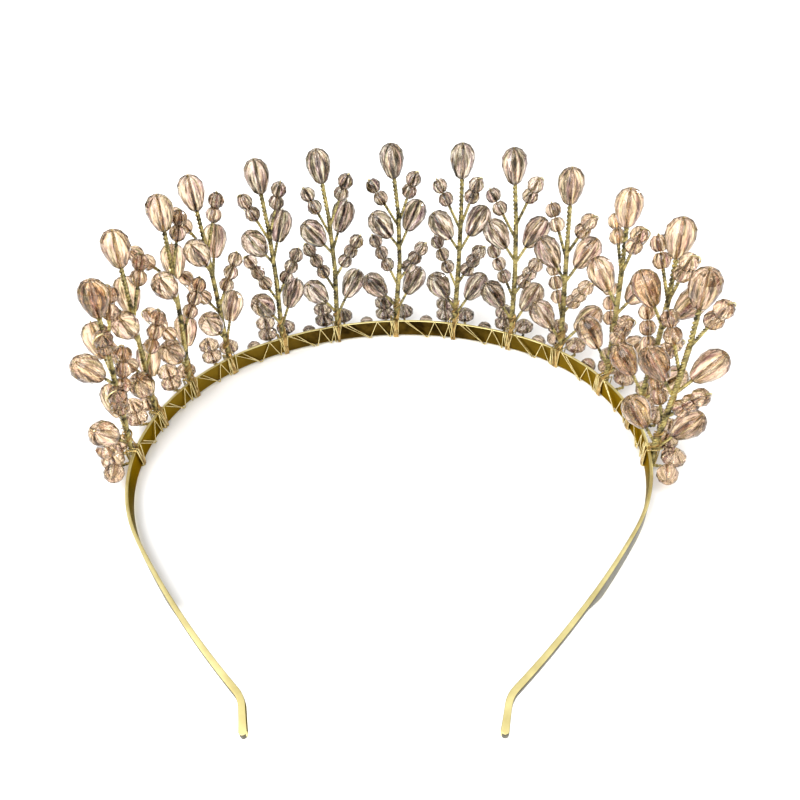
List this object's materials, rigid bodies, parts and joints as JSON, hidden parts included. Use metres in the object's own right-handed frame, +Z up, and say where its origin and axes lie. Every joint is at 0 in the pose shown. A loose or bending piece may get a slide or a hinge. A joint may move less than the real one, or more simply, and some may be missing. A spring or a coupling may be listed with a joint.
{
  "type": "crystal headband",
  "caption": "Gilt strip headband, open at the back, with upright wired sprigs of clear crystal drops, round beads and rondelles lashed along its front",
  "frame": {"origin": "middle of the brow on the strip's middle line, on the surface that the headband stands on", "axes": "+X towards the right temple of the drawing, +Y out of the front of the brow, +Z up along the sprigs; the open legs run towards -Y"},
  "size_m": [0.1427, 0.1301, 0.0596],
  "materials": {
    "gilt_strip": "polished gilt",
    "lashing_gilt": "bright gilt wire",
    "stem_wire": "twisted gilt wire, slightly dull",
    "crystal": "clear, faintly champagne, faceted"
  },
  "bodies": {
    "root": {"headband": "gilt_strip", "lashing_wire": "lashing_gilt", "low_stones": "crystal", "base_rondelles_left": "crystal", "base_rondelles_right": "crystal", "stem_01": "stem_wire", "stem_02": "stem_wire", "stem_03": "stem_wire", "stem_04": "stem_wire", "stem_05": "stem_wire", "stem_06": "stem_wire", "stem_07": "stem_wire", "stem_08": "stem_wire", "stem_09": "stem_wire", "stem_10": "stem_wire", "stem_11": "stem_wire", "stem_12": "stem_wire", "stem_13": "stem_wire", "top_drop_01": "crystal", "top_drop_02": "crystal", "top_drop_03": "crystal", "top_drop_04": "crystal", "top_drop_05": "crystal", "top_drop_06": "crystal", "top_drop_07": "crystal", "top_drop_08": "crystal", "top_drop_09": "crystal", "top_drop_10": "crystal", "top_drop_11": "crystal", "top_drop_12": "crystal", "top_drop_13": "crystal", "side_drops_01": "crystal", "side_drops_02": "crystal", "side_drops_03": "crystal", "side_drops_04": "crystal", "side_drops_05": "crystal", "side_drops_06": "crystal", "side_drops_07": "crystal", "side_drops_08": "crystal", "side_drops_09": "crystal", "side_drops_10": "crystal", "side_drops_11": "crystal", "side_drops_12": "crystal", "side_drops_13": "crystal", "small_beads_01": "crystal", "small_beads_02": "crystal", "small_beads_03": "crystal", "small_beads_04": "crystal", "small_beads_05": "crystal", "small_beads_06": "crystal", "small_beads_07": "crystal", "small_beads_08": "crystal", "small_beads_09": "crystal", "small_beads_10": "crystal", "small_beads_11": "crystal", "small_beads_12": "crystal", "small_beads_13": "crystal"}
  },
  "joints": []
}
